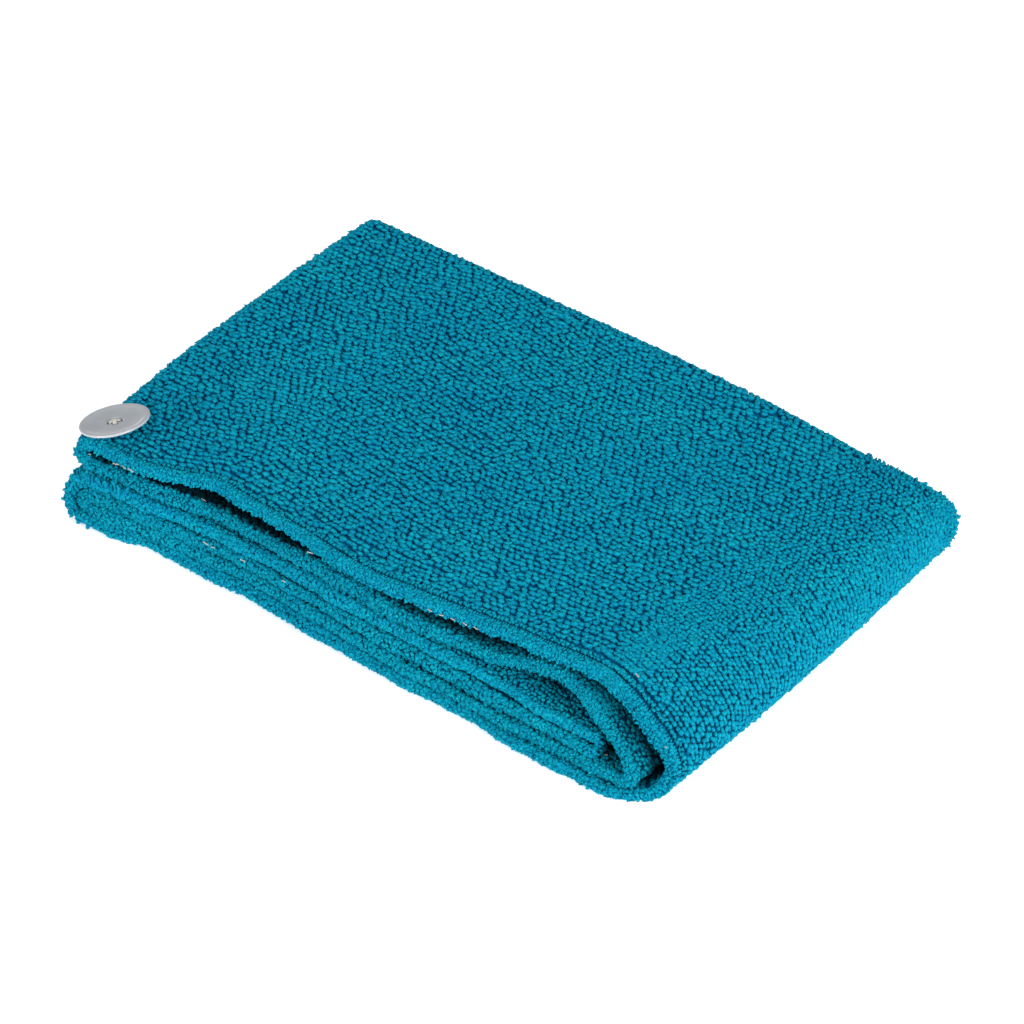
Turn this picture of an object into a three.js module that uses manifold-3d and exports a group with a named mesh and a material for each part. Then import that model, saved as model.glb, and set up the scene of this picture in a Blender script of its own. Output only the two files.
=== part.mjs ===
// Hair towel: a long two-ply hood of terry cloth, folded in three and lying flat.
// X runs along the folded pack from the nape end to the big fold, Y from the open near side to
// the far side and Z up, in millimetres. The pack rests on Z = 0.
import * as THREE from 'three';
import { mergeVertices } from 'three/addons/utils/BufferGeometryUtils.js';
import Module from 'manifold-3d';

const wasm = await Module();
wasm.setup();

// Driving sizes.
const plyGap = 0.35;
const foldedWidth = 173;
const nearLine = -85;
const packCentre = { x: -0.6, y: -0.7 };
const rollRadius = 7.8;
const fullTurn = 41;
const lipTurn = 13;
const slightTurn = 3.5;
const sideBulge = { nape: -2.5, bigFold: 3.5 };
const topCrown = 0.045;
const cornerDroop = 0.06;
const cornerTuck = 0.06;
const rippleShare = 0.012;
const floorSnap = 0.08;
const foldSqueeze = 0.93;
const foldLean = 0.3;
const farBendSqueeze = 0.95;
const farCornerReach = 3.5;
const tangentStep = 0.05;
const endRounding = 0.4;
const lipRounding = 0.5;
const farEdgeRoom = 8;

const button = {
  diameter: 25,
  thickness: 2.2,
  rimThickness: 1.0,
  footRadius: 6.0,
  dishRadius: 10.2,
  dishDepth: 0.6,
  wellRadius: 3.0,
  wellDepth: 0.35,
  holeDiameter: 1.9,
  holeSpacing: 2.7,
  threadDiameter: 1.25,
  shankLength: 0.6,
  shankRadius: 1.3,
  centre: { x: -118.2, y: -69.9, z: 36.9 },
  tiltToNape: 16.6,
  tiltToNear: -3.2,
};

// Materials, one for each kind of stuff.
const outerTerry = new THREE.MeshStandardMaterial({ color: 0x067b9b, roughness: 0.95, metalness: 0 });
const innerTerry = new THREE.MeshStandardMaterial({ color: 0x0a6f8c, roughness: 0.95, metalness: 0 });
const buttonPlastic = new THREE.MeshStandardMaterial({ color: 0xc3c8cc, roughness: 0.35, metalness: 0 });
const whiteThread = new THREE.MeshStandardMaterial({ color: 0xe2e0da, roughness: 0.8, metalness: 0 });

// A table is written as its column names and then a row for each section.
function table(columns, rows) {
  return rows.map((row) => Object.fromEntries(columns.map((column, i) => [column, row[i]])));
}

// Heights of the ply faces along the near side. From the floor up: top of the sole, of the lower
// inner ply, the seam of the folded-in tail, top of the tail, then the upper inner ply and cover.
const nearSections = table(
  ['x', 'sole', 'low', 'seam', 'tail', 'innerLow', 'innerTop', 'coverLow', 'coverTop'],
  [
    [-110, 5.0, 10.9, 16.7, 22.3, 22.9, 27.5, 30.2, 34.6],
    [-92, 5.6, 10.6, 15.3, 20.6, 21.3, 27.1, 30.1, 34.4],
    [-72, 5.1, 9.9, 14.5, 19.4, 20.4, 24.9, 30.8, 34.8],
    [-50, 6.2, 11.1, 15.6, 20.0, 21.0, 25.0, 30.7, 34.7],
    [-25, 6.6, 11.3, 15.8, 21.8, 22.5, 28.1, 30.7, 34.8],
    [0, 4.9, 10.4, 15.7, 21.3, 21.9, 27.4, 30.0, 34.2],
    [25, 4.2, 8.6, 15.4, 19.9, 20.5, 25.0, 30.2, 34.4],
    [50, 3.7, 7.7, 13.7, 17.6, 20.8, 24.4, 29.6, 33.8],
    [75, 3.7, 7.6, 11.8, 15.6, 24.7, 28.6, 30.1, 34.3],
    [90, 3.8, 7.5, 11.4, 15.3, 22.6, 26.4, 30.5, 34.8],
  ],
);

// Where each ply ends towards the near side, at the same sections.
const nearEdges = table(
  ['x', 'sole', 'low', 'seam', 'tail', 'inner', 'cover'],
  [
    [-110, -85.5, -85.0, -84.5, -84.0, -82.5, -81.5],
    [-92, -83.0, -83.3, -82.8, -82.2, -81.1, -80.1],
    [-72, -83.2, -82.2, -80.9, -79.4, -76.2, -74.1],
    [-50, -83.8, -82.8, -81.5, -80.1, -77.6, -75.6],
    [-25, -85.8, -84.5, -83.2, -82.0, -80.3, -78.8],
    [0, -87.2, -86.2, -84.8, -83.5, -82.0, -81.0],
    [25, -88.0, -86.8, -85.0, -83.5, -81.5, -79.5],
    [50, -88.6, -87.2, -85.0, -82.5, -79.0, -76.5],
    [75, -91.0, -88.0, -85.5, -83.0, -77.0, -75.0],
    [90, -91.8, -88.2, -86.0, -83.5, -79.0, -74.5],
  ],
);

// Where each ply ends towards the far side. The cover column is where its turned-in margin starts.
const farEdges = table(
  ['x', 'sole', 'low', 'tail', 'inner', 'cover', 'turn', 'soleTurn'],
  [
    [-110, 79, 77.5, 58, 79, 80, fullTurn, 6],
    [-92, 80, 79, 57, 79, 80, fullTurn, lipTurn],
    [-72, 80.5, 79.5, 54, 79, 80, fullTurn, lipTurn],
    [-50, 80.5, 79.5, 50, 79, 80, fullTurn, lipTurn],
    [-25, 80.5, 79.5, 45, 79, 80, fullTurn, lipTurn],
    [0, 80.5, 79.5, 39, 79, 80, fullTurn, lipTurn],
    [25, 80, 79, 32, 78.5, 79.5, fullTurn, lipTurn],
    [50, 79, 78, 24, 77.5, 78.5, fullTurn, lipTurn],
    [75, 78, 77, 15, 76, 77, 36, lipTurn],
    [90, 77, 76, 9, 75, 76, 25, lipTurn],
  ],
);

// Heights of the same faces along the far side.
const farStack = {
  sole: 4.9, low: 10.0, seam: 15.1, tail: 20.1,
  innerLow: 20.7, innerTop: 25.6, coverLow: 26.0, coverTop: 31.0,
};

// The big fold, where the pack doubles back. The cover leans out in a long slope and turns in
// tightly at the floor, and the inner ply makes a sharp tongue inside it.
const coverBend = table(
  ['x', 'z', 'thick', 'edge', 'angle'],
  [
    [101.0, 31.0, 4.5, -76, 72],
    [113.0, 26.4, 5.0, -78.5, 40],
    [123.0, 19.6, 5.4, -80.5, 14],
    [127.2, 12.0, 5.2, -82.5, -14],
    [124.0, 5.4, 4.6, -86, -45],
    [112.5, 2.1, 4.0, -90.5, -75],
  ],
);
const innerBend = table(
  ['x', 'z', 'thick', 'edge', 'angle'],
  [
    [98.0, 20.2, 4.0, -81, 66],
    [106.5, 15.6, 4.0, -84, 36],
    [113.2, 10.9, 3.8, -86, 12],
    [115.8, 7.9, 3.6, -87.2, -12],
    [113.6, 6.1, 3.3, -88, -40],
    [106.0, 6.0, 3.4, -88.2, -70],
  ],
);
const bigFoldFarX = 112;

// The fold at the nape end, where the sole turns up into the tail.
const tailFoldNear = { cover: -119.0, inner: -118.0 };
const tailFoldFar = { cover: -120.0, inner: -119.3 };
const tailFoldAngles = [-60, -30, 0, 30, 60];
const tailFoldFarEdge = { cover: [68, 60, 58.5, 58.5, 58.5], inner: [62, 58, 57.5, 57.5, 57.5] };

// The ends of cover and inner ply bend towards each other at the nape seam.
const napeRows = table(
  ['side', 'nearX', 'nearDrop', 'farX', 'farDrop'],
  [
    ['end', -124.2, 2.9, -127.2, 0.5],
    ['turn', -123.2, 1.1, -125.4, 0.1],
    ['top', -120.5, 0.0, -121.2, 0.0],
  ],
);
const tailTip = { near: 99.5, far: 97, farEdge: 6 };

// Rounding of a raw edge: how far in from the edge, and the share of the wall that is left off.
const edgeRounding = table(['inset', 'shrink'], [[0, 0.5], [1.0, 0.16], [2.8, 0]]);
const coverInsets = [5, 9, 16, 28, 44, 62, 82, 104, 126, 145];
const innerInsets = [7, 16, 32, 56, 86, 118, 146];
const turnShares = [0.1, 0.24, 0.38, 0.52, 0.66, 0.82, 1];

// A station of a ply's path: its centre, thickness and edges on the near and the far side.
function station(near, far, steps, turn = slightTurn) {
  return { near, far, steps, turn };
}

// Middle height and thickness of a ply between two faces. The sole starts at the floor, and a ply
// that lies on another's top face starts a small gap above it.
function faceHeights(heights, [below, above]) {
  const restsOnPly = ['sole', 'low', 'seam'].includes(below);
  const bottom = below === 'floor' ? 0 : heights[below] + (restsOnPly ? plyGap : 0);
  return { z: (bottom + heights[above]) / 2, thick: heights[above] - bottom };
}

function leafStations(faces, edgeColumn, steps) {
  const farColumn = edgeColumn === 'seam' ? 'tail' : edgeColumn;
  return nearSections.map((section, i) => {
    const near = faceHeights(section, faces);
    const far = faceHeights(farStack, faces);
    const turn = { cover: farEdges[i].turn, sole: farEdges[i].soleTurn }[edgeColumn] ?? slightTurn;
    return station(
      { ...near, x: section.x, y: nearEdges[i][edgeColumn] },
      { ...far, x: section.x, y: farEdges[i][farColumn] },
      steps,
      turn,
    );
  });
}

// The stations of a nape end hang from the first station of its leaf, down or up.
function napeStations(leafStart, direction) {
  return napeRows.map((row) => station(
    { ...leafStart.near, x: row.nearX, z: leafStart.near.z + direction * row.nearDrop },
    { ...leafStart.far, x: row.farX, z: leafStart.far.z + direction * row.farDrop },
    1,
    leafStart.turn,
  ));
}

// The big fold goes through its own table on the near side and round an arc on the far side.
function bendStations(rows, from, to) {
  const middle = (from.far.z + to.far.z) / 2;
  const radius = (from.far.z - to.far.z) / 2;
  return rows.map((row, i) => {
    const angle = THREE.MathUtils.degToRad(row.angle);
    const share = (i + 1) / (rows.length + 1);
    const reach = farCornerReach * Math.sin(Math.PI * share) ** 2;
    return station(
      { x: row.x, y: row.edge, z: row.z, thick: row.thick },
      {
        x: bigFoldFarX + radius * Math.cos(angle),
        y: THREE.MathUtils.lerp(from.far.y, to.far.y, share) + reach,
        z: middle + radius * Math.sin(angle),
        thick: THREE.MathUtils.lerp(from.far.thick, to.far.thick, share) * farBendSqueeze,
      },
      2,
      lipTurn,
    );
  });
}

function foldPoint(end, start, centreX, degrees, share) {
  const angle = THREE.MathUtils.degToRad(degrees);
  const radius = (end.z - start.z) / 2;
  return {
    x: centreX - radius * (Math.cos(angle) - foldLean * Math.sin(angle)),
    y: THREE.MathUtils.lerp(start.y, end.y, share),
    z: (end.z + start.z) / 2 + radius * Math.sin(angle),
    thick: THREE.MathUtils.lerp(start.thick, end.thick, share) * foldSqueeze,
  };
}

function tailFoldStations(ply, from, to) {
  return tailFoldAngles.map((degrees, i) => {
    const share = (i + 1) / (tailFoldAngles.length + 1);
    const near = foldPoint(to.near, from.near, tailFoldNear[ply], degrees, share);
    const far = foldPoint(to.far, from.far, tailFoldFar[ply], degrees, share);
    far.y = tailFoldFarEdge[ply][i];
    return station(near, far, 1);
  });
}

// The faces that bound each ply in each leaf of the pack, its edge columns and where its end bends.
const plies = {
  cover: {
    upper: { faces: ['coverLow', 'coverTop'], edge: 'cover' },
    lower: { faces: ['floor', 'sole'], edge: 'sole' },
    tail: { faces: ['seam', 'tail'], edge: 'tail' },
    endDirection: -1,
  },
  inner: {
    upper: { faces: ['innerLow', 'innerTop'], edge: 'inner' },
    lower: { faces: ['sole', 'low'], edge: 'low' },
    tail: { faces: ['low', 'seam'], edge: 'seam' },
    endDirection: 1,
  },
};

// One ply's whole path: nape end, upper leaf, big fold, lower leaf, tail fold and tail.
function plyPath(ply, bendRows) {
  const leaves = plies[ply];
  const upper = leafStations(leaves.upper.faces, leaves.upper.edge, 2);
  const lower = leafStations(leaves.lower.faces, leaves.lower.edge, 1).reverse();
  const tail = leafStations(leaves.tail.faces, leaves.tail.edge, 1);
  const tip = tail[tail.length - 1];
  return [
    ...napeStations(upper[0], leaves.endDirection),
    ...upper,
    ...bendStations(bendRows, upper[upper.length - 1], lower[0]),
    ...lower,
    ...tailFoldStations(ply, lower[lower.length - 1], tail[0]),
    ...tail,
    station({ ...tip.near, x: tailTip.near }, { ...tip.far, x: tailTip.far, y: tailTip.farEdge }, 1),
  ];
}

// The pack settles as one: its sides bulge, its top is crowned and the corner at the big fold droops.
function settle(point) {
  const across = THREE.MathUtils.clamp((point.y - nearLine) / foldedWidth, 0, 1);
  const middle = 4 * across * (1 - across);
  const toNape = THREE.MathUtils.smoothstep(-point.x, 95, 125);
  const toBigFold = THREE.MathUtils.smoothstep(point.x, 70, 122);
  const bulge = sideBulge.nape * toNape + sideBulge.bigFold * toBigFold;
  const crown = topCrown * middle * (1 - toBigFold) * (1 - 0.5 * toNape);
  const lowered = cornerDroop * THREE.MathUtils.smoothstep(point.x, 20, 120);
  const tucked = cornerTuck * THREE.MathUtils.smoothstep(point.x, 88, 118);
  const droop = across * across * (lowered + tucked);
  const wave = Math.sin(point.x / 21 + point.y / 34) * Math.cos(point.y / 27 - point.x / 60);
  const ripple = rippleShare * middle * wave;
  const height = point.z * (1 + crown - droop + ripple);
  return new THREE.Vector3(
    point.x + bulge * middle - packCentre.x,
    point.y - packCentre.y,
    height < floorSnap ? 0 : height,
  );
}

// The path's columns between its stations: the centre line by smooth curves, the rest in a line.
function pathSampler(stations) {
  const line = (side) => new THREE.CatmullRomCurve3(
    stations.map((row) => new THREE.Vector3(row[side].x, row[side].y, row[side].z)),
    false,
    'centripetal',
  );
  const near = line('near');
  const far = line('far');
  const last = stations.length - 1;
  return (at) => {
    const i = Math.min(Math.floor(at), last - 1);
    const share = at - i;
    const mix = (get) => THREE.MathUtils.lerp(get(stations[i]), get(stations[i + 1]), share);
    return {
      near: near.getPoint(at / last),
      far: far.getPoint(at / last),
      nearThick: mix((row) => row.near.thick),
      farThick: mix((row) => row.far.thick),
      turn: mix((row) => row.turn),
    };
  };
}

// The stretch that the near side's dents reach fades towards the far side.
function nearness(across) {
  return (1 - across) * (1 - across);
}

function centreAt(sample, y) {
  const across = THREE.MathUtils.clamp((y - sample.near.y) / (sample.far.y - sample.near.y), 0, 1);
  const weight = nearness(across);
  return {
    x: THREE.MathUtils.lerp(sample.far.x, sample.near.x, weight),
    z: THREE.MathUtils.lerp(sample.far.z, sample.near.z, weight),
    thick: THREE.MathUtils.lerp(sample.farThick, sample.nearThick, weight),
  };
}

// The rows across a ply: from the rounded near edge over the flat, then round the turned-in margin.
function crossRows(sample, insets, rolled) {
  const rows = edgeRounding.map((row) => ({ y: sample.near.y + row.inset, roll: 0, shrink: row.shrink }));
  const reach = sample.far.y - sample.near.y;
  const narrowing = Math.min(1, reach / (insets[insets.length - 1] + farEdgeRoom));
  insets.forEach((inset) => {
    rows.push({ y: sample.near.y + inset * narrowing, roll: 0, shrink: 0 });
  });
  if (rolled) {
    rows.push({ y: sample.far.y, roll: 0, shrink: 0 });
    turnShares.forEach((share, i) => {
      const shrink = i === turnShares.length - 1 ? lipRounding : 0;
      rows.push({ y: sample.far.y, roll: share * sample.turn, shrink });
    });
  } else {
    [...edgeRounding].reverse().forEach((row) => {
      rows.push({ y: sample.far.y - row.inset, roll: 0, shrink: row.shrink });
    });
  }
  return rows;
}

function wallPoints(sample, tangentSample, row, endShrink) {
  const centre = centreAt(sample, row.y);
  const ahead = centreAt(tangentSample.ahead, row.y + tangentSample.ahead.near.y - sample.near.y);
  const behind = centreAt(tangentSample.behind, row.y + tangentSample.behind.near.y - sample.near.y);
  const length = Math.hypot(ahead.x - behind.x, ahead.z - behind.z);
  const inward = new THREE.Vector3((ahead.z - behind.z) / length, 0, -(ahead.x - behind.x) / length);
  const halfCircle = Math.PI * rollRadius;
  const angle = Math.min(row.roll, halfCircle) / rollRadius;
  const straight = Math.max(row.roll - halfCircle, 0);
  const depth = rollRadius * (1 - Math.cos(angle));
  const middle = new THREE.Vector3(centre.x, row.y + rollRadius * Math.sin(angle) - straight, centre.z);
  middle.addScaledVector(inward, depth);
  const outward = inward.clone().multiplyScalar(-Math.cos(angle));
  outward.y = Math.sin(angle);
  const half = (centre.thick / 2) * (1 - Math.max(row.shrink, endShrink));
  return {
    outside: settle(middle.clone().addScaledVector(outward, half)),
    inside: settle(middle.clone().addScaledVector(outward, -half)),
  };
}

// A closed wall from its two grids of points, joined round the rim.
function wallGeometry(grid) {
  const lengths = grid.length;
  const widths = grid[0].length;
  const positions = [];
  for (const side of ['outside', 'inside']) {
    for (const line of grid) {
      for (const point of line) positions.push(...point[side].toArray());
    }
  }
  const layer = lengths * widths;
  const at = (side, i, j) => side * layer + i * widths + j;
  const index = [];
  const quad = (a, b, c, d) => index.push(a, b, c, a, c, d);
  for (let i = 0; i < lengths - 1; i += 1) {
    for (let j = 0; j < widths - 1; j += 1) {
      quad(at(0, i, j), at(0, i + 1, j), at(0, i + 1, j + 1), at(0, i, j + 1));
      quad(at(1, i, j), at(1, i, j + 1), at(1, i + 1, j + 1), at(1, i + 1, j));
    }
  }
  for (let i = 0; i < lengths - 1; i += 1) {
    quad(at(0, i, 0), at(1, i, 0), at(1, i + 1, 0), at(0, i + 1, 0));
    quad(at(0, i + 1, widths - 1), at(1, i + 1, widths - 1), at(1, i, widths - 1), at(0, i, widths - 1));
  }
  for (let j = 0; j < widths - 1; j += 1) {
    quad(at(0, 0, j + 1), at(1, 0, j + 1), at(1, 0, j), at(0, 0, j));
    quad(at(0, lengths - 1, j), at(1, lengths - 1, j), at(1, lengths - 1, j + 1), at(0, lengths - 1, j + 1));
  }
  const geometry = new THREE.BufferGeometry();
  geometry.setAttribute('position', new THREE.Float32BufferAttribute(positions, 3));
  geometry.setIndex(index);
  geometry.computeVertexNormals();
  return geometry;
}

function panelMesh(name, stations, insets, rolled, material) {
  const sampler = pathSampler(stations);
  const places = [];
  stations.slice(0, -1).forEach((row, i) => {
    for (let k = 0; k < row.steps; k += 1) places.push(i + k / row.steps);
  });
  places.push(stations.length - 1);
  const last = stations.length - 1;
  const grid = places.map((at, i) => {
    const sample = sampler(at);
    const around = {
      ahead: sampler(Math.min(at + tangentStep, last)),
      behind: sampler(Math.max(at - tangentStep, 0)),
    };
    const endShrink = i === 0 || i === places.length - 1 ? endRounding : 0;
    return crossRows(sample, insets, rolled).map((row) => wallPoints(sample, around, row, endShrink));
  });
  const mesh = new THREE.Mesh(wallGeometry(grid), material);
  mesh.name = name;
  return mesh;
}

// Solids for cutting and joining.
function toManifold(geometry) {
  const bare = geometry.clone();
  bare.deleteAttribute('normal');
  bare.deleteAttribute('uv');
  const merged = mergeVertices(bare, 1e-4);
  return new wasm.Manifold(new wasm.Mesh({
    numProp: 3,
    vertProperties: new Float32Array(merged.attributes.position.array),
    triVerts: new Uint32Array(merged.index.array),
  }));
}

function toGeometry(manifold) {
  const mesh = manifold.getMesh();
  const geometry = new THREE.BufferGeometry();
  geometry.setAttribute('position', new THREE.BufferAttribute(mesh.vertProperties, 3));
  geometry.setIndex(new THREE.BufferAttribute(mesh.triVerts, 1));
  geometry.computeVertexNormals();
  return geometry;
}

function upright(geometry, x, y, z) {
  geometry.rotateX(Math.PI / 2);
  geometry.translate(x, y, z);
  return geometry;
}

const holePlaces = [[1, 1], [-1, 1], [-1, -1], [1, -1]].map(
  ([x, y]) => ({ x: (x * button.holeSpacing) / 2, y: (y * button.holeSpacing) / 2 }),
);

// The button: a turned disc with a thin rounded rim over a smaller foot, a shallow dish, a small well
// and four holes.
function buttonGeometry() {
  const rim = button.diameter / 2;
  const half = button.thickness / 2;
  const profile = [
    [0, -half],
    [button.footRadius, -half],
    [rim - 0.5, half - button.rimThickness],
    [rim, half - button.rimThickness * 0.6],
    [rim - 0.1, half - button.rimThickness * 0.3],
    [rim - 0.5, half],
    [rim - 1.3, half - 0.05],
    [button.dishRadius - 1.6, half - button.dishDepth],
    [button.wellRadius + 0.6, half - button.dishDepth - 0.1],
    [button.wellRadius, half - button.dishDepth - button.wellDepth],
    [0, half - button.dishDepth - button.wellDepth],
  ];
  const disc = new THREE.LatheGeometry(profile.map(([r, z]) => new THREE.Vector2(r, z)), 36);
  disc.rotateX(Math.PI / 2);
  let solid = toManifold(disc);
  for (const place of holePlaces) {
    const radius = button.holeDiameter / 2;
    const drill = new THREE.CylinderGeometry(radius, radius, button.thickness * 2, 10);
    solid = solid.subtract(toManifold(upright(drill, place.x, place.y, 0)));
  }
  return toGeometry(solid);
}

// The sewing thread: a leg through each hole, two bars over the top and a wound shank below.
function threadGeometry() {
  const half = button.thickness / 2;
  const radius = button.threadDiameter / 2;
  const barHeight = half - button.dishDepth - button.wellDepth + plyGap + radius;
  const shankTop = -half - plyGap;
  const shankMiddle = shankTop - button.shankLength / 2;
  const shank = new THREE.CylinderGeometry(
    button.holeSpacing * 0.9,
    button.shankRadius,
    button.shankLength,
    12,
  );
  let solid = toManifold(upright(shank, 0, 0, shankMiddle));
  for (const place of holePlaces) {
    const leg = new THREE.CylinderGeometry(radius, radius, barHeight - shankMiddle, 8);
    solid = solid.add(toManifold(upright(leg, place.x, place.y, (barHeight + shankMiddle) / 2)));
  }
  for (const angle of [Math.PI / 4, -Math.PI / 4]) {
    const bar = new THREE.CylinderGeometry(radius, radius, button.holeSpacing * Math.SQRT2 + 2 * radius, 8);
    bar.rotateZ(Math.PI / 2);
    bar.rotateZ(angle);
    bar.translate(0, 0, barHeight);
    solid = solid.add(toManifold(bar));
  }
  return toGeometry(solid);
}

function buttonGroup() {
  const group = new THREE.Group();
  const disc = new THREE.Mesh(buttonGeometry(), buttonPlastic);
  disc.name = 'button';
  const thread = new THREE.Mesh(threadGeometry(), whiteThread);
  thread.name = 'button_thread';
  group.add(disc, thread);
  group.position.set(
    button.centre.x - packCentre.x,
    button.centre.y - packCentre.y,
    button.centre.z,
  );
  group.rotation.y = -THREE.MathUtils.degToRad(button.tiltToNape);
  group.rotation.x = THREE.MathUtils.degToRad(button.tiltToNear);
  return group;
}

const towel = new THREE.Group();
towel.add(panelMesh('outer_panel', plyPath('cover', coverBend), coverInsets, true, outerTerry));
towel.add(panelMesh('inner_panel', plyPath('inner', innerBend), innerInsets, false, innerTerry));
towel.add(buttonGroup());

export default towel;
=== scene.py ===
import math
from functools import partial

import bmesh
import bpy
import numpy as np
from mathutils import Matrix, Vector


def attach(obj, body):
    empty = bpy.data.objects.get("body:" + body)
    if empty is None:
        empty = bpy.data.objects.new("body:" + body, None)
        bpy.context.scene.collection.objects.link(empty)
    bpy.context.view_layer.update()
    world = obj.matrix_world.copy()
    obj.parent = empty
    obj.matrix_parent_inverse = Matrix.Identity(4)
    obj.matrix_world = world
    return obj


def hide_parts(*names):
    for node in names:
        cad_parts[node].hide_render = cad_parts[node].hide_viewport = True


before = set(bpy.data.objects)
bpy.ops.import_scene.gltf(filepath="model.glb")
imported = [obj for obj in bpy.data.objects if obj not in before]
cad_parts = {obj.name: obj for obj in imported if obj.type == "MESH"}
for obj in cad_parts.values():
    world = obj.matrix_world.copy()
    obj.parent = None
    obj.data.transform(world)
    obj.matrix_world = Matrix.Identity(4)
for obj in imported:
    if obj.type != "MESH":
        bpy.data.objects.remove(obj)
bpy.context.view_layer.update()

# Hair towel: a two-ply terry hood with a tail, folded in three and lying flat, with a button at the
# nape corner. Sizes are in millimetres and become metres where a mesh is made.
# X runs from the nape end to the big fold, Y from the open near side to the crown side, Z up.
MM = 0.001
random = np.random.default_rng(458)

# Where the plies lie, with the same values as the solids.
ply_gap = 0.35
folded_width = 173.0
near_line = -85.0
pack_centre = (-0.6, -0.7)
roll_radius = 7.8
full_turn = 41.0
lip_turn = 13.0
slight_turn = 3.5
nape_bulge = -2.5
fold_bulge = 3.5
top_crown = 0.045
corner_droop = 0.06
corner_tuck = 0.06
ripple_share = 0.012
fold_squeeze = 0.93
fold_lean = 0.3
far_bend_squeeze = 0.95
far_corner_reach = 3.5
big_fold_far_x = 112.0

# Stretches of X over which the nape bulge, the fold bulge, the droop and the tuck grow, and the
# lengths of the ripples on the leaves.
nape_zone = (95, 125)
fold_zone = (70, 122)
droop_zone = (20, 120)
tuck_zone = (88, 118)
ripple_lengths = (21, 34, 27, 60)
nape_crown_loss = 0.5

# The terry: height of the loops over the ground cloth, and the spacing of the loops in their rows.
pile_height = 1.25
loop_pitch = 2.55
row_pitch = 2.35
thinnest_half_cloth = 0.6

near_sections = {
    "x": [-110, -92, -72, -50, -25, 0, 25, 50, 75, 90],
    "sole": [5.0, 5.6, 5.1, 6.2, 6.6, 4.9, 4.2, 3.7, 3.7, 3.8],
    "low": [10.9, 10.6, 9.9, 11.1, 11.3, 10.4, 8.6, 7.7, 7.6, 7.5],
    "seam": [16.7, 15.3, 14.5, 15.6, 15.8, 15.7, 15.4, 13.7, 11.8, 11.4],
    "tail": [22.3, 20.6, 19.4, 20.0, 21.8, 21.3, 19.9, 17.6, 15.6, 15.3],
    "inner_low": [22.9, 21.3, 20.4, 21.0, 22.5, 21.9, 20.5, 20.8, 24.7, 22.6],
    "inner_top": [27.5, 27.1, 24.9, 25.0, 28.1, 27.4, 25.0, 24.4, 28.6, 26.4],
    "cover_low": [30.2, 30.1, 30.8, 30.7, 30.7, 30.0, 30.2, 29.6, 30.1, 30.5],
    "cover_top": [34.6, 34.4, 34.8, 34.7, 34.8, 34.2, 34.4, 33.8, 34.3, 34.8],
}
near_edges = {
    "sole": [-85.5, -83.0, -83.2, -83.8, -85.8, -87.2, -88.0, -88.6, -91.0, -91.8],
    "low": [-85.0, -83.3, -82.2, -82.8, -84.5, -86.2, -86.8, -87.2, -88.0, -88.2],
    "seam": [-84.5, -82.8, -80.9, -81.5, -83.2, -84.8, -85.0, -85.0, -85.5, -86.0],
    "tail": [-84.0, -82.2, -79.4, -80.1, -82.0, -83.5, -83.5, -82.5, -83.0, -83.5],
    "inner": [-82.5, -81.1, -76.2, -77.6, -80.3, -82.0, -81.5, -79.0, -77.0, -79.0],
    "cover": [-81.5, -80.1, -74.1, -75.6, -78.8, -81.0, -79.5, -76.5, -75.0, -74.5],
}
far_edges = {
    "sole": [79, 80, 80.5, 80.5, 80.5, 80.5, 80, 79, 78, 77],
    "low": [77.5, 79, 79.5, 79.5, 79.5, 79.5, 79, 78, 77, 76],
    "tail": [58, 57, 54, 50, 45, 39, 32, 24, 15, 9],
    "inner": [79, 79, 79, 79, 79, 79, 78.5, 77.5, 76, 75],
    "cover": [80, 80, 80, 80, 80, 80, 79.5, 78.5, 77, 76],
}
cover_turns = [full_turn] * 8 + [36, 25]
sole_turns = [6] + [lip_turn] * 9
far_stack = {
    "sole": 4.9, "low": 10.0, "seam": 15.1, "tail": 20.1,
    "inner_low": 20.7, "inner_top": 25.6, "cover_low": 26.0, "cover_top": 31.0,
}

# The big fold on the near side: middle line x, z, thickness, near edge, and angle on the far arc.
cover_bend = [
    (101.0, 31.0, 4.5, -76, 72),
    (113.0, 26.4, 5.0, -78.5, 40),
    (123.0, 19.6, 5.4, -80.5, 14),
    (127.2, 12.0, 5.2, -82.5, -14),
    (124.0, 5.4, 4.6, -86, -45),
    (112.5, 2.1, 4.0, -90.5, -75),
]
inner_bend = [
    (98.0, 20.2, 4.0, -81, 66),
    (106.5, 15.6, 4.0, -84, 36),
    (113.2, 10.9, 3.8, -86, 12),
    (115.8, 7.9, 3.6, -87.2, -12),
    (113.6, 6.1, 3.3, -88, -40),
    (106.0, 6.0, 3.4, -88.2, -70),
]

# The nape ends, row by row: near x and drop, far x and drop.
nape_rows = [(-124.2, 2.9, -127.2, 0.5), (-123.2, 1.1, -125.4, 0.1), (-120.5, 0.0, -121.2, 0.0)]
tail_fold_near = {"cover": -119.0, "inner": -118.0}
tail_fold_far = {"cover": -120.0, "inner": -119.3}
tail_fold_angles = [-60, -30, 0, 30, 60]
tail_fold_far_edge = {"cover": [68, 60, 58.5, 58.5, 58.5], "inner": [62, 58, 57.5, 57.5, 57.5]}
tail_tip = (99.5, 97.0, 6.0)

# The faces that bound each ply in each leaf of the pack, and its edge columns.
leaves = {
    "cover": {
        "upper": ("cover_low", "cover_top", "cover"),
        "lower": (None, "sole", "sole"),
        "tail": ("seam", "tail", "tail"),
        "end_direction": -1,
        "bend": cover_bend,
    },
    "inner": {
        "upper": ("inner_low", "inner_top", "inner"),
        "lower": ("sole", "low", "low"),
        "tail": ("low", "seam", "seam"),
        "end_direction": 1,
        "bend": inner_bend,
    },
}


# The camera, at the photograph's angle: degrees round and up, then lengths in metres.
view_azimuth = 37.6
view_elevation = 38.14
view_aim = (0.0006, 0.0007, 0)
view_rise = 0.0086
view_shift = 0.0002
view_distance = 2.751
focal_length_mm = 281.25


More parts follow.
